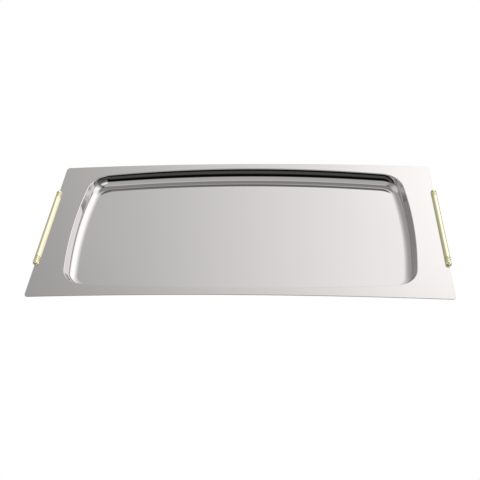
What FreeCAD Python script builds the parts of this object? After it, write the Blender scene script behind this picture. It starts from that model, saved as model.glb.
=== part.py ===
import FreeCAD, Part
import math
import os
import Sketcher

# Rectangular serving tray: one pressed stainless sheet with a sunk well, and a slotted brass bar handle on each
# short edge. Frame: origin at the centre of the floor's underside, +X along the tray, +Y to the rear, +Z up.
# All sizes are millimetres and degrees.

Vector = FreeCAD.Vector
Rotation = FreeCAD.Rotation
Placement = FreeCAD.Placement

doc = FreeCAD.newDocument("ServingTray")

# ---------------------------------------------------------------- driving dimensions

DIMENSIONS = [
    ("tray_length", 500.0, "overall length of the sheet"),
    ("tray_depth", 242.0, "overall depth of the sheet, front to rear"),
    ("sheet_thickness", 1.0, "stainless sheet"),
    ("rim_drop", 5.8, "how much lower the rim is at its ends than at mid-length"),
    ("outer_corner_radius", 4.5, "plan radius of the sheet's four corners"),
    ("well_depth", 18.8, "rim crown to floor, top faces"),
    ("floor_half_length", 209.9, "well centre to short wall, where wall and floor planes meet"),
    ("floor_half_width", 102.8, "well centre to long wall, where wall and floor planes meet"),
    ("long_side_radius", 2337.0, "outward bow of the long walls"),
    ("short_side_radius", 603.5, "outward bow of the short walls"),
    ("well_corner_radius", 22.4, "plan radius of the well's corners, where wall and floor planes meet"),
    ("wall_draft", 22.0, "slope of the well's walls from upright"),
    ("lip_radius", 1.3, "rounding from the rim into the wall, top face"),
    ("floor_radius", 11.4, "rounding from the wall into the floor, top face"),
    ("bar_radius", 3.5, "handle bar"),
    ("bar_half_length", 56.5, "handle bar without its end caps, from its middle"),
    ("bar_inset", 0.82, "bar's centre line inside the sheet's end edge"),
    ("bar_lift", 1.16, "bar's centre line above the sheet's middle surface"),
    ("slot_gap", 1.04, "height of the slot that takes the sheet's edge"),
    ("slot_past_centre", 0.9, "slot's depth beyond the bar's centre line"),
    ("bead_radius", 3.6, "crest of the end cap's beads"),
    ("bead_length", 2.7, "one bead, along the bar"),
    ("neck_radius", 2.7, "bottom of the end cap's grooves"),
    ("neck_length", 0.9, "one groove, along the bar"),
    ("collar_length", 1.1, "straight collar under the dome"),
    ("dome_length", 3.5, "dome, along the bar"),
    ("tenon_radius", 1.1, "end cap's tenon"),
    ("tenon_length", 5.0, "end cap's tenon"),
    ("tenon_offset", 0.6, "tenon outboard of the bar's centre line"),
    ("tenon_lift", 1.2, "tenon above the bar's centre line"),
    ("screw_radius", 1.0, "set screw"),
    ("screw_length", 4.7, "set screw"),
    ("screw_drop", 3.1, "set screw's lower end below the bar's centre line"),
    ("screw_inset", 0.9, "set screw inboard of the bar's centre line"),
    ("screw_half_spacing", 40.0, "set screws from the bar's middle"),
    ("screw_chamfer", 0.2, "set screw's two ends"),
    ("socket_radius", 0.52, "set screw's hexagon socket, centre to corner"),
    ("socket_depth", 1.2, "set screw's hexagon socket"),
    ("fit_gap", 0.02, "radial play of tenons and screws in the brass"),
    ("hole_gap", 0.1, "radial play of the screws in the sheet"),
    ("hole_end_gap", 0.3, "space left beyond a tenon or screw in its blind hole"),
]

sheet = doc.addObject("Spreadsheet::Sheet", "sizes")
for row, (alias, value, note) in enumerate(DIMENSIONS, start=1):
    sheet.set(f"A{row}", note)
    sheet.set(f"B{row}", str(value))
    sheet.setAlias(f"B{row}", alias)
doc.recompute()

# Sizes that follow from the driving ones, as expressions.
CROWN = "(sizes.well_depth + sizes.sheet_thickness)"
HALF_LENGTH = "(sizes.tray_length / 2)"
ARCH_RADIUS = f"(({HALF_LENGTH}^2 + sizes.rim_drop^2) / (2 * sizes.rim_drop))"
ARCH_CENTRE = f"({CROWN} - {ARCH_RADIUS})"
BAR_X = f"({HALF_LENGTH} - sizes.bar_inset)"
BAR_SLOPE = f"asin({BAR_X} / {ARCH_RADIUS})"
# The outer skin of the wall, moved out from the inner skin at floor level by the sheet's thickness.
SKIN_OFFSET = "(sizes.sheet_thickness * (1 / cos(sizes.wall_draft) - tan(sizes.wall_draft)))"


def number(expression):
    """The present value of an expression in the sheet's sizes."""
    value = sheet.evalExpression(expression)
    return float(getattr(value, "Value", value))


def arch_height(x, below_top):
    """Expression for the rim's height at x on the surface that lies below_top under its top face."""
    return f"({ARCH_CENTRE} + sqrt(({ARCH_RADIUS} - {below_top})^2 - ({x})^2))"


# ---------------------------------------------------------------- helpers

def new_body(label):
    """An empty body named after its sub-part."""
    body = doc.addObject("PartDesign::Body", label)
    body.Label = label
    return body


def new_sketch(body, name, role, offset_expression=None):
    """A sketch on one of the body's origin planes, moved along the plane's normal where an offset is given."""
    sketch = body.newObject("Sketcher::SketchObject", name)
    plane = next(item for item in body.Origin.OriginFeatures if item.Role == role)
    sketch.AttachmentSupport = [(plane, "")]
    sketch.MapMode = "FlatFace"
    if offset_expression:
        sketch.setExpression("AttachmentOffset.Base.z", offset_expression)
    return sketch


def hold_point(sketch, geometry, end, along_x, along_y):
    """Tie one point of a sketch's geometry to expressions for its x and y."""
    for kind, axis, expression in (("DistanceX", -2, along_x), ("DistanceY", -1, along_y)):
        value = number(expression)
        if abs(value) < 1e-9:
            sketch.addConstraint(Sketcher.Constraint("PointOnObject", geometry, end, axis))
        elif value > 0:
            index = sketch.addConstraint(Sketcher.Constraint(kind, -1, 1, geometry, end, value))
            sketch.setExpression(f"Constraints[{index}]", expression)
        else:
            index = sketch.addConstraint(Sketcher.Constraint(kind, geometry, end, -1, 1, -value))
            sketch.setExpression(f"Constraints[{index}]", f"-({expression})")


def trace(sketch, start, steps):
    """A closed outline. Each step is a line (x, y), or an arc (via x, via y, x, y), and all are expressions."""
    here = start
    edges = []
    for step in steps:
        begin = Vector(number(here[0]), number(here[1]), 0)
        finish = Vector(number(step[-2]), number(step[-1]), 0)
        if len(step) == 2:
            edge = sketch.addGeometry(Part.LineSegment(begin, finish))
            edges.append((edge, 1, 2))
        else:
            via = Vector(number(step[0]), number(step[1]), 0)
            edge = sketch.addGeometry(Part.Arc(begin, via, finish))
            at_start = sketch.getPoint(edge, 1).distanceToPoint(begin) < 1e-6
            edges.append((edge, 1, 2) if at_start else (edge, 2, 1))
        here = step[-2:]
    for (edge, _, tail), (following, head, _) in zip(edges, edges[1:] + edges[:1]):
        sketch.addConstraint(Sketcher.Constraint("Coincident", edge, tail, following, head))
    for (edge, _, tail), step in zip(edges, steps):
        hold_point(sketch, edge, tail, *step[-2:])
        if len(step) == 4:
            via = Vector(number(step[0]), number(step[1]), 0)
            point = sketch.addGeometry(Part.Point(via), True)
            sketch.addConstraint(Sketcher.Constraint("PointOnObject", point, 1, edge))
            hold_point(sketch, point, 1, step[0], step[1])


def circle(sketch, along_x, along_y, radius):
    """A circle whose centre and radius are expressions."""
    centre = Vector(number(along_x), number(along_y), 0)
    geometry = sketch.addGeometry(Part.Circle(centre, Vector(0, 0, 1), number(radius)))
    hold_point(sketch, geometry, 3, along_x, along_y)
    index = sketch.addConstraint(Sketcher.Constraint("Radius", geometry, number(radius)))
    sketch.setExpression(f"Constraints[{index}]", radius)


def prism(body, kind, name, sketch, length, symmetric=False, reverse=False, draft=None):
    """A Pad or Pocket whose length, and draft where given, are expressions."""
    feature = body.newObject(f"PartDesign::{kind}", name)
    feature.Profile = sketch
    feature.setExpression("Length", length)
    feature.SideType = "Symmetric" if symmetric else "One side"
    feature.Reversed = reverse
    if draft:
        feature.setExpression("TaperAngle", draft)
    doc.recompute()
    return feature


def round_edges(body, name, base, edge_test, radius):
    """A fillet on every edge of the base whose points all pass the test."""
    names = []
    for index, edge in enumerate(base.Shape.Edges, start=1):
        if all(edge_test(point) for point in edge.discretize(5)):
            names.append(f"Edge{index}")
    fillet = body.newObject("PartDesign::Fillet", name)
    fillet.Base = (base, names)
    fillet.setExpression("Radius", radius)
    doc.recompute()
    return fillet


# ---------------------------------------------------------------- tray sheet

def well_outline(sketch, offset="0"):
    """The well in plan: four outward-bowed arcs joined by round corners, all tangent, moved out by offset."""
    long_radius = number(f"sizes.long_side_radius + {offset}")
    short_radius = number(f"sizes.short_side_radius + {offset}")
    corner_radius = number(f"sizes.well_corner_radius + {offset}")
    long_centre = number("sizes.long_side_radius - sizes.floor_half_width")
    short_centre = number("sizes.short_side_radius - sizes.floor_half_length")

    # The corner's centre is where circles about the two side centres cross.
    to_long = long_radius - corner_radius
    to_short = short_radius - corner_radius
    apart = math.hypot(short_centre, long_centre)
    along = (to_long**2 - to_short**2 + apart**2) / (2 * apart)
    across = math.sqrt(to_long**2 - along**2)
    corner_x = (-along * short_centre + across * long_centre) / apart
    corner_y = -long_centre + (along * long_centre + across * short_centre) / apart
    short_angle = math.atan2(corner_y, corner_x + short_centre)
    long_angle = math.atan2(corner_y + long_centre, corner_x)

    half_turn = math.pi
    arcs = [
        (-short_centre, 0, short_radius, -short_angle, short_angle),
        (corner_x, corner_y, corner_radius, short_angle, long_angle),
        (0, -long_centre, long_radius, long_angle, half_turn - long_angle),
        (-corner_x, corner_y, corner_radius, half_turn - long_angle, half_turn - short_angle),
        (short_centre, 0, short_radius, half_turn - short_angle, half_turn + short_angle),
        (-corner_x, -corner_y, corner_radius, half_turn + short_angle, half_turn + long_angle),
        (0, long_centre, long_radius, half_turn + long_angle, -long_angle),
        (corner_x, -corner_y, corner_radius, -long_angle, -short_angle),
    ]
    for x, y, radius, begin, finish in arcs:
        base = Part.Circle(Vector(x, y, 0), Vector(0, 0, 1), radius)
        sketch.addGeometry(Part.ArcOfCircle(base, begin, finish))
    for index in range(len(arcs)):
        following = (index + 1) % len(arcs)
        sketch.addConstraint(Sketcher.Constraint("Tangent", index, 2, following, 1))

    radii = ["short_side_radius", "well_corner_radius", "long_side_radius", "well_corner_radius"]
    for index in range(len(arcs)):
        alias = radii[index % len(radii)]
        value = number(f"sizes.{alias} + {offset}")
        held = sketch.addConstraint(Sketcher.Constraint("Radius", index, value))
        sketch.setExpression(f"Constraints[{held}]", f"sizes.{alias} + {offset}")
    short_expression = "sizes.floor_half_length - sizes.short_side_radius"
    long_expression = "sizes.floor_half_width - sizes.long_side_radius"
    hold_point(sketch, 0, 3, short_expression, "0")
    hold_point(sketch, 2, 3, "0", long_expression)
    hold_point(sketch, 4, 3, f"-({short_expression})", "0")
    hold_point(sketch, 6, 3, "0", f"-({long_expression})")


def make_tray_sheet():
    """Arched rim with a drafted, round-cornered well pressed into it, one sheet thickness throughout."""
    body = new_body("tray_sheet")
    thickness = number("sizes.sheet_thickness")
    arch_radius = number(ARCH_RADIUS)
    arch_centre = number(ARCH_CENTRE)
    half_length = number(HALF_LENGTH)
    half_depth = number("sizes.tray_depth / 2")

    # Block that becomes the well's outer skin.
    block_sketch = new_sketch(body, "well_block_outline", "XY_Plane")
    well_outline(block_sketch, SKIN_OFFSET)
    prism(body, "Pad", "well_block", block_sketch, CROWN, draft="sizes.wall_draft")

    # Everything above the rim's middle surface comes off the block.
    trim_sketch = new_sketch(body, "arch_trim_outline", "XZ_Plane")
    half_sheet = "sizes.sheet_thickness / 2"
    edge_height = arch_height(HALF_LENGTH, half_sheet)
    crown_height = f"({CROWN} - {half_sheet})"
    trim_top = f"({CROWN} + sizes.rim_drop)"
    trim_steps = [
        ("0", crown_height, HALF_LENGTH, edge_height),
        (HALF_LENGTH, trim_top),
        (f"-{HALF_LENGTH}", trim_top),
        (f"-{HALF_LENGTH}", edge_height),
    ]
    trace(trim_sketch, (f"-{HALF_LENGTH}", edge_height), trim_steps)
    prism(body, "Pocket", "arch_trim", trim_sketch, "sizes.tray_depth", symmetric=True)

    # Rim, for now with no opening.
    rim_sketch = new_sketch(body, "rim_outline", "XZ_Plane")
    top_height = arch_height(HALF_LENGTH, "0")
    under_height = arch_height(HALF_LENGTH, "sizes.sheet_thickness")
    rim_steps = [
        ("0", "sizes.well_depth", HALF_LENGTH, under_height),
        (HALF_LENGTH, top_height),
        ("0", CROWN, f"-{HALF_LENGTH}", top_height),
        (f"-{HALF_LENGTH}", under_height),
    ]
    trace(rim_sketch, (f"-{HALF_LENGTH}", under_height), rim_steps)
    prism(body, "Pad", "rim", rim_sketch, "sizes.tray_depth", symmetric=True)

    # The well itself, cut upwards from the floor's top face.
    well_sketch = new_sketch(body, "well_floor_outline", "XY_Plane", "sizes.sheet_thickness")
    well_outline(well_sketch)
    well = prism(body, "Pocket", "well", well_sketch, CROWN, reverse=True, draft="sizes.wall_draft")

    def inside_rim(point):
        return abs(point.x) < half_length - 1 and abs(point.y) < half_depth - 1

    def on_arch(point, radius):
        return abs(math.hypot(point.x, point.z - arch_centre) - radius) < 1e-3

    def on_lip(point):
        return inside_rim(point) and on_arch(point, arch_radius)

    def on_under_lip(point):
        return inside_rim(point) and on_arch(point, arch_radius - thickness)

    def on_floor_top(point):
        return abs(point.z - thickness) < 1e-4

    def on_floor_under(point):
        return abs(point.z) < 1e-4

    def on_outer_corner(point):
        return abs(abs(point.x) - half_length) < 1e-3 and abs(abs(point.y) - half_depth) < 1e-3

    shape = round_edges(body, "floor_rounding", well, on_floor_top, "sizes.floor_radius")
    shape = round_edges(body, "floor_under_rounding", shape, on_floor_under,
                        "sizes.floor_radius + sizes.sheet_thickness")
    shape = round_edges(body, "lip_rounding", shape, on_lip, "sizes.lip_radius")
    shape = round_edges(body, "lip_under_rounding", shape, on_under_lip,
                        "sizes.lip_radius - sizes.sheet_thickness")
    round_edges(body, "corner_rounding", shape, on_outer_corner, "sizes.outer_corner_radius")

    # Holes near the two ends, for the handles' set screws.
    hole_sketch = new_sketch(body, "screw_hole_centres", "XY_Plane")
    hole_x = (f"({BAR_X} - sizes.screw_inset * cos({BAR_SLOPE})"
              f" - sizes.bar_lift * sin({BAR_SLOPE}))")
    for side in ("", "-"):
        for end in ("", "-"):
            circle(hole_sketch, f"{side}{hole_x}", f"{end}sizes.screw_half_spacing",
                   "sizes.screw_radius + sizes.hole_gap")
    prism(body, "Pocket", "screw_holes", hole_sketch, f"{CROWN} * 2", reverse=True)
    return body


# ---------------------------------------------------------------- handles

def cut_slot(body, length):
    """The slot along a handle piece's inboard side that takes the sheet's edge."""
    sketch = new_sketch(body, "edge_slot_outline", "XZ_Plane")
    past_surface = "-(sizes.bead_radius * 2)"
    low = "(-sizes.bar_lift - sizes.slot_gap / 2)"
    high = "(-sizes.bar_lift + sizes.slot_gap / 2)"
    steps = [
        ("sizes.slot_past_centre", low),
        ("sizes.slot_past_centre", high),
        (past_surface, high),
        (past_surface, low),
    ]
    trace(sketch, (past_surface, low), steps)
    return prism(body, "Pocket", "edge_slot", sketch, length, symmetric=True)


def make_handle_bar(label):
    """Round bar lying along Y: local +X points outboard and the slot opens inboard."""
    body = new_body(label)
    bar_sketch = new_sketch(body, "bar_section", "XZ_Plane")
    circle(bar_sketch, "0", "0", "sizes.bar_radius")
    prism(body, "Pad", "bar", bar_sketch, "sizes.bar_half_length * 2", symmetric=True)
    cut_slot(body, "sizes.bar_half_length * 2")

    for end, sign in (("rear", -1), ("front", 1)):
        offset = f"{sign} * sizes.bar_half_length"
        hole_sketch = new_sketch(body, f"{end}_tenon_hole_centre", "XZ_Plane", offset)
        circle(hole_sketch, "sizes.tenon_offset", "sizes.tenon_lift", "sizes.tenon_radius + sizes.fit_gap")
        prism(body, "Pocket", f"{end}_tenon_hole", hole_sketch,
              "sizes.tenon_length + sizes.hole_end_gap", reverse=sign < 0)

    screw_sketch = new_sketch(body, "screw_hole_centres", "XY_Plane", "-2 * sizes.bar_radius")
    for end in ("", "-"):
        circle(screw_sketch, "-sizes.screw_inset", f"{end}sizes.screw_half_spacing",
               "sizes.screw_radius + sizes.fit_gap")
    depth = "2 * sizes.bar_radius - sizes.screw_drop + sizes.screw_length + sizes.hole_end_gap"
    prism(body, "Pocket", "screw_holes", screw_sketch, depth, reverse=True)
    return body


def make_end_cap(label, sign):
    """Turned end of a handle bar, from the bar's end to the tip of its dome. sign is +1 at the rear, -1 in front."""
    body = new_body(label)

    def along(expression):
        return f"{sign} * (sizes.bar_half_length + {expression})"

    pitch = "(sizes.neck_length + sizes.bead_length)"
    collar_start = f"(2 * {pitch} + sizes.neck_length)"
    dome_start = f"({collar_start} + sizes.collar_length)"
    profile = [("sizes.neck_radius", along("0"))]
    for bead in range(2):
        start = f"({bead} * {pitch} + sizes.neck_length)"
        profile.append(("sizes.neck_radius", along(start)))
        profile.append(("sizes.bead_radius", along(f"{start} + sizes.bead_length / 2"),
                        "sizes.neck_radius", along(f"{start} + sizes.bead_length")))
    dome_radius = "((sizes.bead_radius^2 + sizes.dome_length^2) / (2 * sizes.dome_length))"
    via_radius = "(sizes.bead_radius / 2)"
    via_length = (f"({dome_start} + sizes.dome_length - {dome_radius}"
                  f" + sqrt({dome_radius}^2 - {via_radius}^2))")
    profile += [
        ("sizes.neck_radius", along(collar_start)),
        ("sizes.bead_radius", along(collar_start)),
        ("sizes.bead_radius", along(dome_start)),
        (via_radius, along(via_length), "0", along(f"({dome_start} + sizes.dome_length)")),
        ("0", along("0")),
    ]
    turned_sketch = new_sketch(body, "turned_profile", "XY_Plane")
    trace(turned_sketch, ("0", along("0")), profile)
    turned = body.newObject("PartDesign::Revolution", "turned_cap")
    turned.Profile = turned_sketch
    turned.ReferenceAxis = (turned_sketch, ["V_Axis"])
    turned.Angle = 360
    doc.recompute()

    tenon_sketch = new_sketch(body, "tenon_section", "XZ_Plane", f"{-sign} * sizes.bar_half_length")
    circle(tenon_sketch, "sizes.tenon_offset", "sizes.tenon_lift", "sizes.tenon_radius")
    prism(body, "Pad", "tenon", tenon_sketch, "sizes.tenon_length", reverse=sign < 0)
    cut_slot(body, "sizes.tray_depth")
    return body


def make_set_screw(label):
    """Headless screw standing on Z, its lower end at the origin, with a hexagon socket in that end."""
    body = new_body(label)
    shank_sketch = new_sketch(body, "shank_section", "XY_Plane")
    circle(shank_sketch, "0", "0", "sizes.screw_radius")
    shank = prism(body, "Pad", "shank", shank_sketch, "sizes.screw_length")

    chamfer = body.newObject("PartDesign::Chamfer", "end_chamfers")
    rims = [f"Edge{i}" for i, edge in enumerate(shank.Shape.Edges, start=1) if edge.isClosed()]
    chamfer.Base = (shank, rims)
    chamfer.setExpression("Size", "sizes.screw_chamfer")
    doc.recompute()

    socket_sketch = new_sketch(body, "socket_outline", "XY_Plane")
    corners = [(f"sizes.socket_radius * cos({60 * k + 30})", f"sizes.socket_radius * sin({60 * k + 30})")
               for k in range(6)]
    trace(socket_sketch, corners[-1], corners)
    prism(body, "Pocket", "socket", socket_sketch, "sizes.socket_depth", reverse=True)
    return body


# ---------------------------------------------------------------- assembly

SIDES = (("left", -1), ("right", 1))
ENDS = (("front", -1), ("rear", 1))

bodies = [make_tray_sheet()]
slope = number(BAR_SLOPE)
bar_height = number(f"{arch_height(BAR_X, 'sizes.sheet_thickness / 2')} + sizes.bar_lift * cos({BAR_SLOPE})")
bar_reach = number(BAR_X)

for side, side_sign in SIDES:
    # The handle's frame: local +X outboard and tilted down along the rim, local Z across the sheet.
    turn = Rotation(Vector(0, 0, 1), 0 if side_sign > 0 else 180)
    tilt = Rotation(Vector(0, 1, 0), side_sign * slope)
    handle_frame = Placement(Vector(side_sign * bar_reach, 0, bar_height), tilt.multiply(turn))

    bar = make_handle_bar(f"{side}_handle_bar")
    bar.Placement = handle_frame
    bodies.append(bar)
    for end, end_sign in ENDS:
        # Turning the left handle half way round swaps its front and rear in its own frame.
        local_sign = side_sign * end_sign
        cap = make_end_cap(f"{side}_{end}_end_cap", local_sign)
        cap.Placement = handle_frame
        bodies.append(cap)

        screw = make_set_screw(f"{side}_{end}_set_screw")
        seat = Vector(-number("sizes.screw_inset"), local_sign * number("sizes.screw_half_spacing"),
                      -number("sizes.screw_drop"))
        screw.Placement = handle_frame.multiply(Placement(seat, Rotation()))
        bodies.append(screw)

doc.recompute()

# ---------------------------------------------------------------- checks and export

for item in doc.Objects:
    if any(flag in ("Invalid", "Error") for flag in item.State):
        raise RuntimeError(f"{item.Name} failed: {item.State}")
    if item.TypeId == "PartDesign::Pocket" and item.Shape.Volume >= item.BaseFeature.Shape.Volume - 1e-3:
        raise RuntimeError(f"{item.Name} in {item.BaseFeature.Name} cuts nothing")
    if item.TypeId == "PartDesign::Pad" and item.BaseFeature:
        if item.Shape.Volume <= item.BaseFeature.Shape.Volume + 1e-3:
            raise RuntimeError(f"{item.Name} adds nothing")

os.makedirs("parts", exist_ok=True)
for body in bodies:
    shape = body.Shape
    if shape.isNull() or not shape.isValid() or len(shape.Solids) != 1:
        raise RuntimeError(f"{body.Label} isn't one valid solid")
    shape.exportStep(os.path.join("parts", f"{body.Label}.step"))
    box = shape.BoundBox
    print(f"{body.Label}: {box.XLength:.2f} x {box.YLength:.2f} x {box.ZLength:.2f} mm,"
          f" {shape.Volume / 1000:.3f} cm3")
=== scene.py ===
import math

import bpy
import numpy as np
from mathutils import Matrix, Vector


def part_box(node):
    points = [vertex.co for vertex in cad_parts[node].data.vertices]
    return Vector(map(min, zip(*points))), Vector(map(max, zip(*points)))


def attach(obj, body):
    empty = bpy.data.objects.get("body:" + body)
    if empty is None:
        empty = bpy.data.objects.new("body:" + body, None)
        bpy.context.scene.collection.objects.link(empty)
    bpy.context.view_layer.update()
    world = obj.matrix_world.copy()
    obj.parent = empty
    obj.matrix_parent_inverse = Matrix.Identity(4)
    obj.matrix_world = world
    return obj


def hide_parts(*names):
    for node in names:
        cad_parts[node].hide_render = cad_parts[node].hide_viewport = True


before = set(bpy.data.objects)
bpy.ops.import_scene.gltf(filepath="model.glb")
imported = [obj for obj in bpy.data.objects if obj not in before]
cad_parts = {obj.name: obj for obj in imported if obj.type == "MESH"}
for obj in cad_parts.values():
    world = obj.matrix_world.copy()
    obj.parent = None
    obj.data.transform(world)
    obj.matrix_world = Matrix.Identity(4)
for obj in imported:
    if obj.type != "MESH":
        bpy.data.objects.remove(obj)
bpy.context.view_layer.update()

# Rectangular serving tray of mirror-polished steel with brass rod handles. Lengths are in metres and angles
# in radians, apart from the lights' directions, which are in degrees. The frame is the CAD model's: +X along
# the tray, +Y to the rear, +Z up, z = 0 under the well's floor.

MM = 0.001
SHEET_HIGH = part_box("tray_sheet")[1]

# ---------------------------------------------------------------- the sheet's sizes

THICKNESS = 1.0 * MM
RIM_DROP = 5.8 * MM
OUTER_CORNER_RADIUS = 4.5 * MM
FLOOR_HALF_LENGTH = 209.9 * MM
FLOOR_HALF_WIDTH = 102.8 * MM
LONG_SIDE_RADIUS = 2337.0 * MM
SHORT_SIDE_RADIUS = 603.5 * MM
WELL_CORNER_RADIUS = 22.4 * MM
WALL_DRAFT = math.radians(22.0)
WALL_BOW = math.radians(2.0)
LIP_RADIUS = 1.3 * MM
FLOOR_RADIUS = 11.4 * MM
EDGE_RADIUS = 0.3 * MM

# Each pass brings a rounding's foot nearer to where it meets the sloping floor or rim.
ROUNDING_PASSES = 6

# The pressed floor isn't quite flat: along the tray it crowns with the rim, and across the tray it dishes.
FLOOR_RISE = 2.5 * MM
FLOOR_DISH = 1.3 * MM

HALF_LENGTH = SHEET_HIGH.x
HALF_DEPTH = SHEET_HIGH.y
CROWN = SHEET_HIGH.z
ARCH_RADIUS = (HALF_LENGTH**2 + RIM_DROP**2) / (2 * RIM_DROP)


def rim_height(flat):
    """Height of the rim's top face at plan points."""
    return CROWN - ARCH_RADIUS + np.sqrt(ARCH_RADIUS**2 - flat[:, 0]**2)


def rim_slope(flat):
    """Slopes of the rim's top face along X and Y."""
    return -flat[:, 0] / np.sqrt(ARCH_RADIUS**2 - flat[:, 0]**2), np.zeros(len(flat))


def floor_height(flat):
    """Height of the floor's top face at plan points."""
    along, across = flat[:, 0] / FLOOR_HALF_LENGTH, flat[:, 1] / FLOOR_HALF_WIDTH
    return THICKNESS + FLOOR_RISE * (1 - along**2) - FLOOR_DISH * (1 - along**4) * (1 - across**2)


def floor_slope(flat):
    """Slopes of the floor's top face along X and Y."""
    along, across = flat[:, 0] / FLOOR_HALF_LENGTH, flat[:, 1] / FLOOR_HALF_WIDTH
    slope_x = (4 * FLOOR_DISH * along**3 * (1 - across**2) - 2 * FLOOR_RISE * along) / FLOOR_HALF_LENGTH
    slope_y = 2 * FLOOR_DISH * (1 - along**4) * across / FLOOR_HALF_WIDTH
    return slope_x, slope_y


# ---------------------------------------------------------------- tray sheet mesh

def well_outline(long_steps, short_steps, corner_steps):
    """Points and outward normals of the well's outline at floor level, once round, anticlockwise.
    Also says how far round each point is: side number 0 to 7, and the share of that side."""
    short_centre = SHORT_SIDE_RADIUS - FLOOR_HALF_LENGTH
    long_centre = LONG_SIDE_RADIUS - FLOOR_HALF_WIDTH
    to_long = LONG_SIDE_RADIUS - WELL_CORNER_RADIUS
    to_short = SHORT_SIDE_RADIUS - WELL_CORNER_RADIUS
    apart = math.hypot(short_centre, long_centre)
    along = (to_long**2 - to_short**2 + apart**2) / (2 * apart)
    across = math.sqrt(to_long**2 - along**2)
    corner_x = (-along * short_centre + across * long_centre) / apart
    corner_y = -long_centre + (along * long_centre + across * short_centre) / apart
    low = math.atan2(corner_y, corner_x + short_centre)
    high = math.atan2(corner_y + long_centre, corner_x)

    half_turn = math.pi
    arcs = [
        (-short_centre, 0, SHORT_SIDE_RADIUS, -low, low, short_steps),
        (corner_x, corner_y, WELL_CORNER_RADIUS, low, high, corner_steps),
        (0, -long_centre, LONG_SIDE_RADIUS, high, half_turn - high, long_steps),
        (-corner_x, corner_y, WELL_CORNER_RADIUS, half_turn - high, half_turn - low, corner_steps),
        (short_centre, 0, SHORT_SIDE_RADIUS, half_turn - low, half_turn + low, short_steps),
        (-corner_x, -corner_y, WELL_CORNER_RADIUS, half_turn + low, half_turn + high, corner_steps),
        (0, long_centre, LONG_SIDE_RADIUS, half_turn + high, 2 * half_turn - high, long_steps),
        (corner_x, -corner_y, WELL_CORNER_RADIUS, 2 * half_turn - high, 2 * half_turn - low, corner_steps),
    ]
    points, normals, sides, shares = [], [], [], []
    for side, (x, y, radius, begin, finish, steps) in enumerate(arcs):
        for share in np.arange(steps) / steps:
            angle = begin + (finish - begin) * share
            normal = (math.cos(angle), math.sin(angle))
            points.append((x + radius * normal[0], y + radius * normal[1]))
            normals.append(normal)
            sides.append(side)
            shares.append(share)
    return np.array(points), np.array(normals), np.array(sides), np.array(shares)


def outer_outline(sides, shares):
    """Points and outward normals of the sheet's outer edge, matched to the well's outline."""
    flat_x = HALF_LENGTH - OUTER_CORNER_RADIUS
    flat_y = HALF_DEPTH - OUTER_CORNER_RADIUS
    corners = [(flat_x, flat_y), (-flat_x, flat_y), (-flat_x, -flat_y), (flat_x, -flat_y)]
    points, normals = [], []
    for side, share in zip(sides, shares):
        quarter = side // 2
        if side % 2:
            angle = (quarter + share) * math.pi / 2
            centre = corners[quarter]
        else:
            angle = quarter * math.pi / 2
            start, end = corners[quarter - 1], corners[quarter]
            centre = tuple(a + (b - a) * share for a, b in zip(start, end))
        normal = (math.cos(angle), math.sin(angle))
        points.append([c + OUTER_CORNER_RADIUS * n for c, n in zip(centre, normal)])
        normals.append(normal)
    return np.array(points), np.array(normals)


def unit(vectors):
    """The same directions at length 1."""
    return vectors / np.linalg.norm(vectors, axis=1, keepdims=True)


def lean_at(angle, count):
    """The face's normal in the plane across the outline, as its outward and upward parts."""
    angle = np.broadcast_to(angle, count)
    return np.column_stack([-np.cos(angle), np.sin(angle)])


def rounding(outline, normals, height_at, slope_at, radius, side):
    """The arc that joins the wall to a gently sloping face, in the plane across each point of the outline.
    side is 1 for an arc above the face and -1 for one below it.
    Returns the arc's centres and the face's normals."""
    wall_out, wall_up = -math.cos(WALL_DRAFT), math.sin(WALL_DRAFT)
    offset = np.zeros(len(outline))
    for _ in range(ROUNDING_PASSES):
        flat = outline + offset[:, None] * normals
        slope = (np.column_stack(slope_at(flat)) * normals).sum(1)
        face = unit(np.column_stack([-slope, np.ones_like(slope)]))
        reach = offset * face[:, 0] + (height_at(flat) - THICKNESS) * face[:, 1] + side * radius
        spread = wall_out * face[:, 1] - wall_up * face[:, 0]
        centre = np.column_stack([
            (side * radius * face[:, 1] - wall_up * reach) / spread,
            (wall_out * reach - side * radius * face[:, 0]) / spread,
        ])
        offset = centre[:, 0] - side * radius * face[:, 0]
    return centre, face


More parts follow.
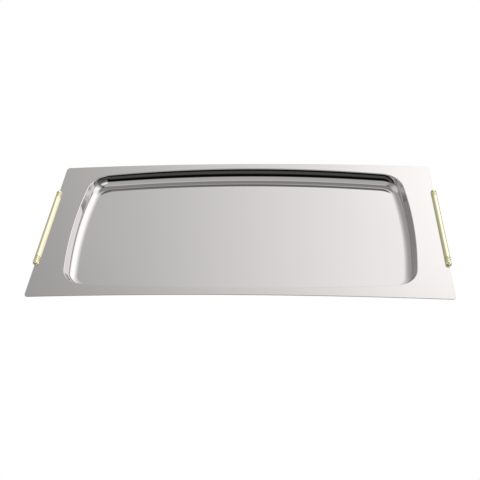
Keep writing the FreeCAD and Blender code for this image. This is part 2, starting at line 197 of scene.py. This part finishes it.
def press_profile(outline, normals, lip_steps, wall_steps, floor_steps):
    """Rings of the pressed top face from the floor's edge up to the lip's edge on the rim.
    Each ring is (points, normals) in 3-D. Both roundings meet the floor and the rim tangentially."""
    count = len(outline)
    along = np.column_stack([-normals[:, 1], normals[:, 0]])
    rings = []

    def add_ring(place, angle):
        """One ring from its places across the outline and the angle that its face leans at."""
        flat = outline + place[:, :1] * normals
        step = np.linalg.norm(np.roll(flat, -1, 0) - np.roll(flat, 1, 0), axis=1)
        grow, climb = ((np.roll(place, -1, 0) - np.roll(place, 1, 0)) / step[:, None]).T
        lean = lean_at(angle, count)
        skew = -grow * lean[:, 0] - climb * lean[:, 1]
        sideways = lean[:, :1] * normals + skew[:, None] * along
        points = np.column_stack([flat, place[:, 1] + THICKNESS])
        rings.append((points, unit(np.column_stack([sideways, lean[:, 1]]))))

    wall = lean_at(WALL_DRAFT, count)
    floor_centre, floor_face = rounding(outline, normals, floor_height, floor_slope, FLOOR_RADIUS, 1)
    floor_angle = np.arctan2(floor_face[:, 1], -floor_face[:, 0])
    for share in np.linspace(0, 1, floor_steps + 1):
        angle = floor_angle + (WALL_DRAFT - floor_angle) * share
        add_ring(floor_centre - FLOOR_RADIUS * lean_at(angle, count), angle + WALL_BOW * share)

    lip_centre, rim_face = rounding(outline, normals, rim_height, rim_slope, LIP_RADIUS, -1)
    wall_foot = floor_centre - FLOOR_RADIUS * wall
    wall_head = lip_centre + LIP_RADIUS * wall
    for share in np.linspace(0, 1, wall_steps + 1)[1:]:
        add_ring(wall_foot + (wall_head - wall_foot) * share, WALL_DRAFT + WALL_BOW * (1 - 2 * share))

    rim_angle = np.arctan2(rim_face[:, 1], -rim_face[:, 0])
    for share in np.linspace(0, 1, lip_steps + 1)[1:]:
        angle = WALL_DRAFT + (rim_angle - WALL_DRAFT) * share
        add_ring(lip_centre + LIP_RADIUS * lean_at(angle, count), angle - WALL_BOW * (1 - share))
    return rings


def face_ring(flat, height_at, slope_at):
    """Points and normals of a gently sloping face at plan points."""
    slope_x, slope_y = slope_at(flat)
    normals = unit(np.column_stack([-slope_x, -slope_y, np.ones(len(flat))]))
    return np.column_stack([flat, height_at(flat)]), normals


def floor_rings(edge, steps):
    """Rings of the floor from near its centre out to just inside the edge ring."""
    shares = np.linspace(0, 1, steps + 1)[1:-1]
    return [face_ring(edge[:, :2] * share, floor_height, floor_slope) for share in shares]


def rim_rings(inner, outer, outer_normals, steps):
    """Rings of the rim's top face, from the lip out to where the edge's rounding starts."""
    edge = outer - EDGE_RADIUS * outer_normals
    shares = np.linspace(0, 1, steps + 1)[1:]
    return [face_ring(inner[:, :2] * (1 - share) + edge * share, rim_height, rim_slope) for share in shares]


def edge_rings(top_ring, outer_normals, steps):
    """Rings round the sheet's cut edge, from its top face to its underside, with both corners eased."""
    top, up = top_ring
    out = np.column_stack([outer_normals, np.zeros(len(outer_normals))])
    rings = []
    for sign in (1, -1):
        middle = top - THICKNESS / 2 * up + sign * (THICKNESS / 2 - EDGE_RADIUS) * up
        if sign > 0:
            turns = np.linspace(math.pi / 2, 0, steps + 1)[1:]
        else:
            turns = np.linspace(0, math.pi / 2, steps + 1)
        for turn in turns:
            lean = math.cos(turn) * out + sign * math.sin(turn) * up
            rings.append((middle + EDGE_RADIUS * lean, lean))
    return rings


def add_object(name, mesh, material):
    """Link a mesh to the scene as a piece with one material."""
    mesh.materials.append(material)
    piece = bpy.data.objects.new(name, mesh)
    bpy.context.scene.collection.objects.link(piece)
    return piece


def build_tray_sheet(material):
    """The whole pressed sheet: top face, eased cut edge and underside, one closed skin with exact normals."""
    outline, normals, sides, shares = well_outline(long_steps=180, short_steps=90, corner_steps=32)
    outer, outer_normals = outer_outline(sides, shares)
    press = press_profile(outline, normals, lip_steps=8, wall_steps=6, floor_steps=20)
    rings = floor_rings(press[0][0], steps=24) + press
    rings += rim_rings(rings[-1][0], outer, outer_normals, steps=10)
    top_rings = list(rings)
    rings += edge_rings(rings[-1], outer_normals, steps=3)
    for points, up in reversed(top_rings[:-1]):
        rings.append((points - THICKNESS * up, -up))

    count = len(outline)
    faces = []
    for ring in range(len(rings) - 1):
        for here in range(count):
            following = (here + 1) % count
            low, high = ring * count, (ring + 1) * count
            faces.append((low + here, high + here, high + following, low + following))
    last = (len(rings) - 1) * count
    faces.append(tuple(range(count)))
    faces.append(tuple(last + index for index in reversed(range(count))))

    mesh = bpy.data.meshes.new("tray_sheet_polished")
    mesh.from_pydata(np.vstack([ring[0] for ring in rings]).tolist(), [], faces)
    mesh.shade_smooth()
    mesh.normals_split_custom_set_from_vertices(np.vstack([ring[1] for ring in rings]).tolist())
    return add_object(mesh.name, mesh, material)


# ---------------------------------------------------------------- handles

# A handle's own frame: x outboard and tilted down with the rim, y along the bar, z across the sheet. The bar
# and its end caps are turned about y, and a slot along their inboard side takes the sheet's edge.
BAR_RADIUS = 3.5 * MM
BAR_HALF_LENGTH = 56.5 * MM
BAR_INSET = 0.82 * MM
BAR_LIFT = 1.16 * MM
BAR_END_ROUNDING = 0.3 * MM
SLOT_GAP = 1.04 * MM
SLOT_PAST_CENTRE = 0.9 * MM
BEAD_RADIUS = 3.6 * MM
BEAD_LENGTH = 2.7 * MM
NECK_RADIUS = 2.7 * MM
NECK_LENGTH = 0.9 * MM
COLLAR_LENGTH = 1.1 * MM
DOME_LENGTH = 3.5 * MM
TIP_RADIUS = 2.0 * MM
SLOT_LOW = -BAR_LIFT - SLOT_GAP / 2
SLOT_HIGH = -BAR_LIFT + SLOT_GAP / 2

# The dome's curve stops this far short of its axis, and a tiny flat face closes it.
DOME_END_TURN = math.radians(1)

# Slack for telling whether a ring is as wide as the dome's tip or wider, where the slot runs.
HAIR = 1e-9


def handle_place(side):
    """The matrix that takes a handle's own frame to the tray's. side is 1 on the right and -1 on the left."""
    reach = HALF_LENGTH - BAR_INSET
    slope = math.asin(reach / ARCH_RADIUS)
    middle = CROWN - ARCH_RADIUS + math.sqrt((ARCH_RADIUS - THICKNESS / 2)**2 - reach**2)
    place = Matrix.Translation((side * reach, 0, middle + BAR_LIFT * math.cos(slope)))
    turn = Matrix.Rotation(0 if side > 0 else math.pi, 4, "Z")
    return place @ Matrix.Rotation(side * slope, 4, "Y") @ turn


def arc_profile(centre, radius, begin, finish, steps):
    """A rounded stretch of a turned profile: places (along, out) with their normals (along, out)."""
    stretch = []
    for angle in np.linspace(begin, finish, steps + 1):
        normal = (math.cos(angle), math.sin(angle))
        stretch.append(((centre[0] + radius * normal[0], centre[1] + radius * normal[1]), normal))
    return stretch


def line_profile(start, end):
    """A straight stretch of a turned profile, with its normal on the outer side."""
    along, out = end[0] - start[0], end[1] - start[1]
    length = math.hypot(along, out)
    normal = (-out / length, along / length)
    return [(start, normal), (end, normal)]


def bar_profile():
    """The bar from end to end, with both end edges rounded."""
    inner = BAR_HALF_LENGTH - BAR_END_ROUNDING
    out = BAR_RADIUS - BAR_END_ROUNDING
    return [
        arc_profile((-inner, out), BAR_END_ROUNDING, math.pi, math.pi / 2, 4),
        line_profile((-inner, BAR_RADIUS), (inner, BAR_RADIUS)),
        arc_profile((inner, out), BAR_END_ROUNDING, math.pi / 2, 0, 4),
    ]


def cap_profile():
    """An end cap from the bar's end to the tip of its dome: neck, two beads with grooves, collar and dome."""
    here = BAR_HALF_LENGTH
    stretches = []
    half_bead = BEAD_LENGTH / 2
    crest = BEAD_RADIUS - NECK_RADIUS
    bead_arc = (half_bead**2 + crest**2) / (2 * crest)
    bead_turn = math.asin(half_bead / bead_arc)
    for _ in range(2):
        stretches.append(line_profile((here, NECK_RADIUS), (here + NECK_LENGTH, NECK_RADIUS)))
        here += NECK_LENGTH + half_bead
        stretches.append(arc_profile((here, BEAD_RADIUS - bead_arc), bead_arc, math.pi / 2 + bead_turn,
                                     math.pi / 2 - bead_turn, 12))
        here += half_bead
    stretches.append(line_profile((here, NECK_RADIUS), (here + NECK_LENGTH, NECK_RADIUS)))
    here += NECK_LENGTH
    stretches.append(line_profile((here, NECK_RADIUS), (here, BEAD_RADIUS)))
    stretches.append(line_profile((here, BEAD_RADIUS), (here + COLLAR_LENGTH, BEAD_RADIUS)))
    here += COLLAR_LENGTH
    dome_arc = (BEAD_RADIUS**2 + DOME_LENGTH**2) / (2 * DOME_LENGTH)
    centre = (here + DOME_LENGTH - dome_arc, 0)
    rim_turn = math.asin(BEAD_RADIUS / dome_arc)
    tip_turn = math.asin(TIP_RADIUS / dome_arc)
    stretches.append(arc_profile(centre, dome_arc, rim_turn, tip_turn, 10))
    stretches.append(arc_profile(centre, dome_arc, tip_turn, DOME_END_TURN, 6))
    return stretches


def section(radius, slotted, steps):
    """Points (x, z) of a turned section: round from the slot's upper lip to its lower lip, then the slot.
    A section past the slot's end keeps the same number of points, on the full circle."""
    reach = radius if slotted else TIP_RADIUS
    upper = math.pi - math.asin(SLOT_HIGH / reach)
    lower = math.pi - math.asin(SLOT_LOW / reach)
    turns = np.linspace(upper, lower - 2 * math.pi, steps + 1)
    points = [(radius * math.cos(turn), radius * math.sin(turn)) for turn in turns]
    if slotted:
        points += [(SLOT_PAST_CENTRE, SLOT_LOW), (SLOT_PAST_CENTRE, SLOT_HIGH)]
    else:
        points += [(radius * math.cos(turn), radius * math.sin(turn))
                   for turn in (lower + (upper - lower) / 3, upper - (upper - lower) / 3)]
    return points


def build_turned(name, stretches, place, mirrored, material, steps=72):
    """A slotted turned piece, one closed mesh, with exact normals on its turned faces.
    mirrored puts it at the other end of the bar."""
    flip = -1 if mirrored else 1
    places, edges = [], []
    for stretch in stretches:
        for (here, normal), (there, following) in zip(stretch, stretch[1:]):
            if not places:
                places.append(here)
            places.append(there)
            edges.append((normal, following))
    points = []
    for along, out in places:
        slotted = out > TIP_RADIUS - HAIR
        points += [(x, flip * along, z) for x, z in section(out, slotted, steps)]
    count = steps + 3

    def turned_normal(index, normal):
        x, _, z = points[index]
        out = math.hypot(x, z)
        return (normal[1] * x / out, flip * normal[0], normal[1] * z / out)

    faces, normals = [], []
    for ring, (near, far) in enumerate(edges):
        for column in range(count):
            following = (column + 1) % count
            low, high = ring * count, (ring + 1) * count
            corners = [
                (low + column, near),
                (high + column, far),
                (high + following, far),
                (low + following, near),
            ]
            if not mirrored:
                corners.reverse()
            faces.append(tuple(index for index, _ in corners))
            flat = column >= steps and places[ring + 1][1] > TIP_RADIUS - HAIR
            normals += [None if flat else turned_normal(index, normal) for index, normal in corners]
    last = (len(places) - 1) * count
    ends = [tuple(range(count)), tuple(last + index for index in reversed(range(count)))]
    for end in ends:
        faces.append(end if mirrored else tuple(reversed(end)))
        normals += [None] * count

    mesh = bpy.data.meshes.new(name)
    mesh.from_pydata(points, [], faces)
    mesh.shade_smooth()
    for polygon in mesh.polygons:
        for loop in polygon.loop_indices:
            if normals[loop] is None:
                normals[loop] = tuple(polygon.normal)
    mesh.normals_split_custom_set(normals)
    mesh.transform(place)
    return add_object(name, mesh, material)


# ---------------------------------------------------------------- materials

def new_material(name):
    """A node material, its Principled shader and its node tree."""
    material = bpy.data.materials.new(name)
    material.use_nodes = True
    tree = material.node_tree
    return material, tree.nodes["Principled BSDF"], tree


def noise(tree, scale, detail, stretch=(1, 1, 1)):
    """Noise in the object's own coordinates, in metres times scale, drawn out along an axis by stretch."""
    place = tree.nodes.new("ShaderNodeTexCoord")
    mapping = tree.nodes.new("ShaderNodeMapping")
    mapping.inputs["Scale"].default_value = stretch
    texture = tree.nodes.new("ShaderNodeTexNoise")
    texture.inputs["Scale"].default_value = scale
    texture.inputs["Detail"].default_value = detail
    tree.links.new(place.outputs["Object"], mapping.inputs["Vector"])
    tree.links.new(mapping.outputs["Vector"], texture.inputs["Vector"])
    return texture.outputs["Fac"]


def ramp(tree, value, low, high):
    """A value from 0 to 1 spread between low and high."""
    spread = tree.nodes.new("ShaderNodeMapRange")
    spread.inputs["To Min"].default_value = low
    spread.inputs["To Max"].default_value = high
    tree.links.new(value, spread.inputs["Value"])
    return spread.outputs["Result"]


def polished_steel():
    """Mirror-polished stainless sheet: near-clear reflections and a faint polishing haze."""
    material, shader, tree = new_material("polished_steel")
    shader.inputs["Base Color"].default_value = (0.635, 0.617, 0.608, 1)
    shader.inputs["Metallic"].default_value = 1.0
    haze = noise(tree, scale=14.0, detail=4.0, stretch=(1, 2.5, 1))
    tree.links.new(ramp(tree, haze, 0.02, 0.045), shader.inputs["Roughness"])
    return material


def polished_brass():
    """Pale polished brass with a little haze."""
    material, shader, tree = new_material("polished_brass")
    shader.inputs["Base Color"].default_value = (0.90, 0.85, 0.57, 1)
    shader.inputs["Metallic"].default_value = 1.0
    haze = noise(tree, scale=60.0, detail=3.0)
    tree.links.new(ramp(tree, haze, 0.05, 0.09), shader.inputs["Roughness"])
    return material


def screw_steel():
    """Plain machined steel of the set screws."""
    material, shader, tree = new_material("screw_steel")
    shader.inputs["Base Color"].default_value = (0.55, 0.55, 0.56, 1)
    shader.inputs["Metallic"].default_value = 1.0
    grain = noise(tree, scale=900.0, detail=3.0)
    tree.links.new(ramp(tree, grain, 0.25, 0.45), shader.inputs["Roughness"])
    return material


# ---------------------------------------------------------------- pieces

STEEL = polished_steel()
BRASS = polished_brass()
SCREW = screw_steel()


def stand_for(piece, node):
    """Let a piece stand for a CAD node, on the tray's one body."""
    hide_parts(node)
    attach(piece, "root")


stand_for(build_tray_sheet(STEEL), "tray_sheet")
for side, side_sign in (("left", -1), ("right", 1)):
    place = handle_place(side_sign)
    bar = build_turned(f"{side}_handle_bar_polished", bar_profile(), place, False, BRASS)
    stand_for(bar, f"{side}_handle_bar")
    for end, end_sign in (("front", -1), ("rear", 1)):
        # Turning the left handle half way round swaps its front and rear in its own frame.
        mirrored = side_sign * end_sign < 0
        cap = build_turned(f"{side}_{end}_end_cap_polished", cap_profile(), place, mirrored, BRASS)
        stand_for(cap, f"{side}_{end}_end_cap")

for name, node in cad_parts.items():
    if name.endswith("set_screw"):
        node.material_slots[0].material = SCREW

# ---------------------------------------------------------------- camera

CAMERA_PLACE = Vector((0.0616, -0.6985, CROWN + 0.6401))
CAMERA_PITCH = 0.76204
CAMERA_YAW = -0.09131
CAMERA_ROLL = 0.06164
CAMERA_LENS = 56.387

# The lens and the sensor are in millimetres, as Blender wants them.
CAMERA_SENSOR = 36.0


def add_camera():
    """The camera at the viewing angle: pitched down, turned slightly and rolled slightly."""
    data = bpy.data.cameras.new("view")
    data.sensor_width = CAMERA_SENSOR
    data.lens = CAMERA_LENS
    data.clip_start = 0.01
    data.clip_end = 50.0
    forward = Vector((math.sin(CAMERA_YAW) * math.cos(CAMERA_PITCH),
                      math.cos(CAMERA_YAW) * math.cos(CAMERA_PITCH), -math.sin(CAMERA_PITCH)))
    level = Vector((math.cos(CAMERA_YAW), -math.sin(CAMERA_YAW), 0))
    down = forward.cross(level)
    right = math.cos(CAMERA_ROLL) * level + math.sin(CAMERA_ROLL) * down
    down = math.cos(CAMERA_ROLL) * down - math.sin(CAMERA_ROLL) * level
    camera = bpy.data.objects.new("view", data)
    turn = Matrix((right, -down, -forward)).transposed().to_4x4()
    camera.matrix_world = Matrix.Translation(CAMERA_PLACE) @ turn
    bpy.context.scene.collection.objects.link(camera)
    bpy.context.scene.camera = camera


add_camera()

# ---------------------------------------------------------------- floor and light

# The studio, as it is seen from the tray: soft lights at headings of 0 to the rear, 90 to the right and 180
# to the front, and at heights above the horizon, both in degrees.
def softbox(heading, width, height, tall, side_fade, top_fade, strength):
    """A soft light round a heading and a height: full inside, fading at its sides, its top and its foot."""
    left, right = heading - width / 2, heading + width / 2
    foot, top = height - tall / 2, height + tall / 2
    headings = (left - side_fade, left, right, right + side_fade)
    heights = (foot - top_fade, foot, top, top + top_fade)
    return headings, heights, strength


PANELS = {
    "rear_light": softbox(heading=0, width=160, height=25, tall=40,
                          side_fade=40, top_fade=40, strength=0.45),
    "rear_right_light": softbox(heading=50, width=40, height=30, tall=25,
                                side_fade=75, top_fade=25, strength=0.95),
    "rear_window": softbox(heading=30, width=25, height=25, tall=20,
                           side_fade=15, top_fade=15, strength=0.20),
    "right_light": softbox(heading=95, width=10, height=30, tall=30,
                           side_fade=20, top_fade=20, strength=0.30),
    "right_front_light": softbox(heading=145, width=30, height=25, tall=20,
                                 side_fade=10, top_fade=10, strength=0.70),
    "left_light": softbox(heading=-90, width=60, height=35, tall=30,
                          side_fade=20, top_fade=20, strength=0.35),
    "front_light": softbox(heading=180, width=80, height=48, tall=40,
                           side_fade=20, top_fade=15, strength=0.60),
    "front_low_light": softbox(heading=180, width=100, height=5, tall=1,
                               side_fade=20, top_fade=2, strength=0.10),
    "ceiling": softbox(heading=0, width=360, height=90, tall=30,
                       side_fade=15, top_fade=15, strength=0.30),
}

# Brightness where no panel shines, and of the backdrop that the camera sees.
ROOM = 0.002
BACKDROP = 1.0

# The pale floor: its brightness in the metal, its side, and how far it lies under the tray.
FLOOR_GLOW = 0.40
FLOOR_SIZE = 8.0
FLOOR_DROP = 0.2 * MM


def math_node(tree, operation, *values):
    """A Math node on sockets or plain numbers; returns its output."""
    node = tree.nodes.new("ShaderNodeMath")
    node.operation = operation
    for socket, value in zip(node.inputs, values):
        if isinstance(value, (int, float)):
            socket.default_value = value
        else:
            tree.links.new(value, socket)
    return node.outputs[0]


def smooth_step(tree, value, dark, full):
    """0 where the value is at dark, 1 where it is at full, smooth between."""
    step = tree.nodes.new("ShaderNodeMapRange")
    step.interpolation_type = "SMOOTHSTEP"
    step.inputs["From Min"].default_value = dark
    step.inputs["From Max"].default_value = full
    tree.links.new(value, step.inputs["Value"])
    return step.outputs["Result"]


def fades(tree, value, limits):
    """1 between the two middle limits, 0 outside the outer two."""
    first, second, third, last = limits
    rise = smooth_step(tree, value, first, second)
    fall = smooth_step(tree, value, last, third)
    return math_node(tree, "MULTIPLY", rise, fall)


def add_world():
    """Reflections and light come from the panels; the backdrop that the camera sees is plain white."""
    world = bpy.data.worlds.new("studio")
    bpy.context.scene.world = world
    world.use_nodes = True
    tree = world.node_tree
    background = tree.nodes["Background"]
    place = tree.nodes.new("ShaderNodeTexCoord")
    split = tree.nodes.new("ShaderNodeSeparateXYZ")
    tree.links.new(place.outputs["Generated"], split.inputs[0])
    x, y, z = split.outputs
    degrees = 180 / math.pi
    heading = math_node(tree, "MULTIPLY", math_node(tree, "ARCTAN2", x, y), degrees)
    height = math_node(tree, "MULTIPLY", math_node(tree, "ARCSINE", z), degrees)

    total = ROOM
    for headings, heights, strength in PANELS.values():
        middle = (headings[1] + headings[2]) / 2
        near = math_node(tree, "WRAP", heading, middle + 180.0, middle - 180.0)
        panel = math_node(tree, "MULTIPLY", fades(tree, near, headings), fades(tree, height, heights))
        total = math_node(tree, "MULTIPLY_ADD", panel, strength, total)

    path = tree.nodes.new("ShaderNodeLightPath")
    seen = tree.nodes.new("ShaderNodeMix")
    seen.inputs["B"].default_value = BACKDROP
    tree.links.new(path.outputs["Is Camera Ray"], seen.inputs["Factor"])
    tree.links.new(total, seen.inputs["A"])
    tree.links.new(seen.outputs["Result"], background.inputs["Strength"])
    background.inputs["Color"].default_value = (1, 1, 1, 1)


def add_floor():
    """A plain pale floor, white like the backdrop, dimmer in reflections and clear from underneath."""
    material, shader, tree = new_material("pale_floor")
    tree.nodes.remove(shader)
    path = tree.nodes.new("ShaderNodeLightPath")
    seen = tree.nodes.new("ShaderNodeMix")
    seen.inputs["A"].default_value = FLOOR_GLOW
    seen.inputs["B"].default_value = BACKDROP
    tree.links.new(path.outputs["Is Camera Ray"], seen.inputs["Factor"])
    glow = tree.nodes.new("ShaderNodeEmission")
    tree.links.new(seen.outputs["Result"], glow.inputs["Strength"])

    clear = tree.nodes.new("ShaderNodeBsdfTransparent")
    either = tree.nodes.new("ShaderNodeMixShader")
    side = tree.nodes.new("ShaderNodeNewGeometry")
    output = tree.nodes["Material Output"]
    tree.links.new(side.outputs["Backfacing"], either.inputs[0])
    tree.links.new(glow.outputs[0], either.inputs[1])
    tree.links.new(clear.outputs[0], either.inputs[2])
    tree.links.new(either.outputs[0], output.inputs["Surface"])
    bpy.ops.mesh.primitive_plane_add(size=FLOOR_SIZE, location=(0, 0, -FLOOR_DROP))
    floor = bpy.context.object
    floor.name = "floor"
    floor.data.materials.append(material)


add_floor()
add_world()
bpy.context.scene.view_settings.view_transform = "Standard"
